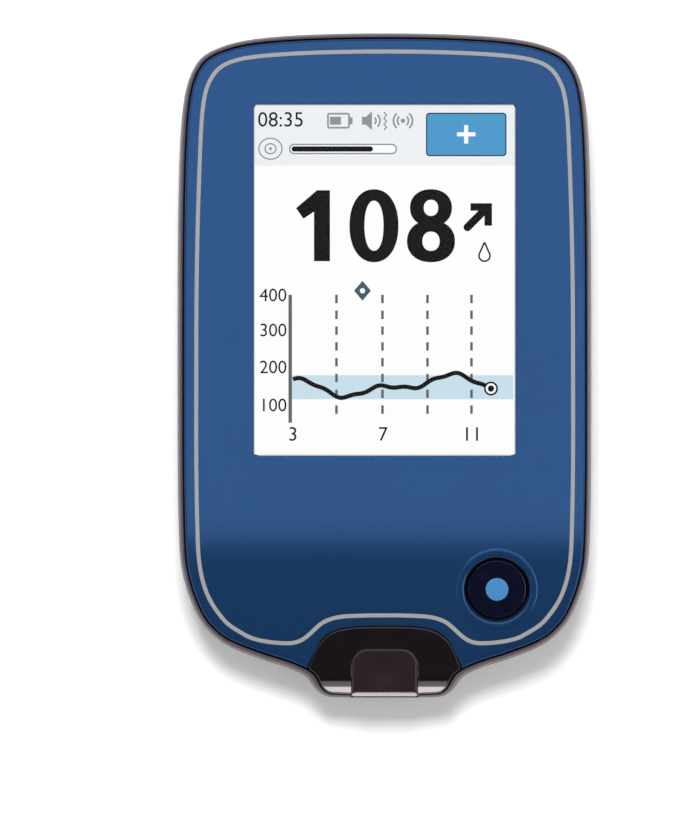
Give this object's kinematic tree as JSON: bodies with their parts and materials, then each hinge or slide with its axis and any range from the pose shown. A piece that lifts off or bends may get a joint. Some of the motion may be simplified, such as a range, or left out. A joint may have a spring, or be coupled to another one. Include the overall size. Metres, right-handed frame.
{
  "type": "blood glucose meter",
  "caption": "Handheld blood glucose reader: a rounded slab with a colour touch screen, a home button and a test strip port in a nose at the bottom end.",
  "frame": {"origin": "centre of the back plane, under the middle of the body's length and width", "axes": "+Z out of the screen, +Y towards the end with the USB port, -Y towards the strip port, +X to the button's side when the screen is read upright"},
  "size_m": [0.0592, 0.095, 0.016],
  "materials": {
    "housing": "satin dark brown-grey moulded plastic",
    "seal": "black elastomer",
    "chassis": "black glass-filled plastic",
    "fascia": "satin blue metallic lacquer",
    "trim": "silver-grey print",
    "lens": "clear window",
    "hood": "gloss black plastic",
    "tongue": "satin brown-black plastic",
    "button": "gloss navy-black plastic",
    "dot": "light blue",
    "switch": "stamped metal",
    "actuator": "black",
    "touch": "clear sensor glass",
    "polyimide": "amber polyimide film",
    "foam": "black foam",
    "display": "display glass",
    "backlight": "white light guide",
    "connector": "ivory plastic",
    "board": "green solder mask",
    "shield": "tinned steel",
    "chip": "black epoxy",
    "passive": "ceramic parts",
    "copper": "copper track",
    "cell": "aluminium-foil pouch",
    "pad": "adhesive foam pad",
    "lead": "red insulated wire",
    "speaker": "dark plastic frame",
    "cone": "film diaphragm",
    "motor": "steel can",
    "shell": "nickel-plated steel",
    "socket": "ivory plastic",
    "contact": "gold-plated spring",
    "screw": "zinc-plated steel"
  },
  "bodies": {
    "reader": {"back_cover": "housing", "edge_seal": "seal", "mid_frame": "chassis", "front_fascia": "fascia", "trim_line": "trim", "window_lens": "lens", "port_hood": "hood", "port_tongue": "tongue", "switch_body": "switch", "touch_panel": "touch", "touch_flex": "polyimide", "display_foam": "foam", "display_glass": "display", "display_backlight": "backlight", "display_flex": "polyimide", "display_connector": "connector", "main_board": "board", "shield_can": "shield", "processor_chip": "chip", "memory_chip": "chip", "radio_chip": "chip", "clock_crystal": "shield", "board_passives": "passive", "antenna_film": "polyimide", "antenna_coil": "copper", "battery_cell": "cell", "battery_pad": "pad", "battery_lead": "lead", "battery_connector": "connector", "speaker": "speaker", "speaker_cone": "cone", "speaker_gasket": "foam", "vibration_motor": "motor", "motor_pad": "pad", "usb_socket": "shell", "usb_tongue": "chip", "strip_socket": "socket", "strip_contacts": "contact", "frame_screws": "screw"},
    "home_button": {"button_cap": "button", "button_dot": "dot", "switch_actuator": "actuator"}
  },
  "joints": [
    {"name": "button_press", "type": "slide", "parent": "reader", "child": "home_button", "axis": [0, 0.0732, -0.9973], "range_m": [0, 0.0004], "stiffness_N_per_m": 1500}
  ]
}
